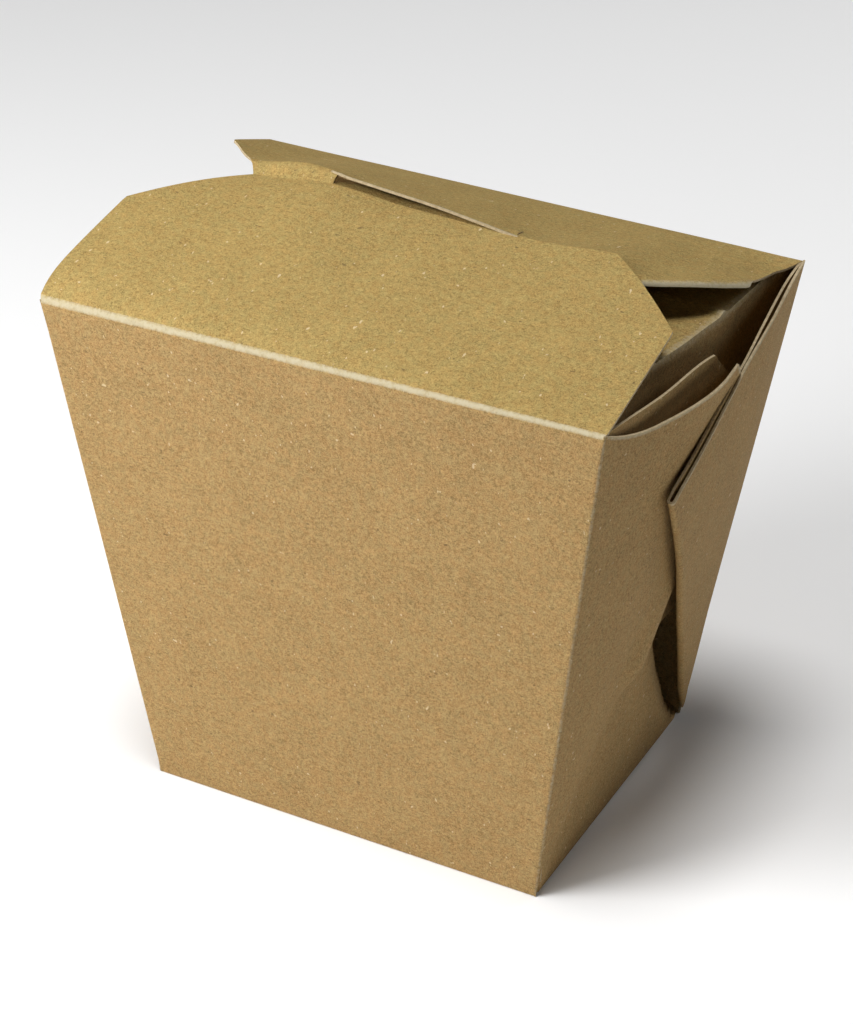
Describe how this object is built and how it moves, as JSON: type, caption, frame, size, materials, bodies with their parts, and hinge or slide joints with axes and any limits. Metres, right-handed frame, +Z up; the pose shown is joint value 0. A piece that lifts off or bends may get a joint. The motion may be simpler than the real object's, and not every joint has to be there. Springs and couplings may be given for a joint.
{
  "type": "takeaway food box",
  "caption": "Shut noodle takeaway box in kraft card, with flared walls, a folded lid closed by a tongue in a slit, and webbed sides",
  "frame": {"origin": "at the base, under the middle of the box", "axes": "+Z up; -Y faces out of the front panel, which carries the flap with the tongue; +X towards the side whose back corner is spread outward"},
  "size_m": [0.123, 0.0798, 0.1205],
  "materials": {
    "kraft_card": "uncoated brown kraft board with a fine fibre speckle"
  },
  "bodies": {
    "root": {"carton": "kraft_card"}
  },
  "joints": []
}
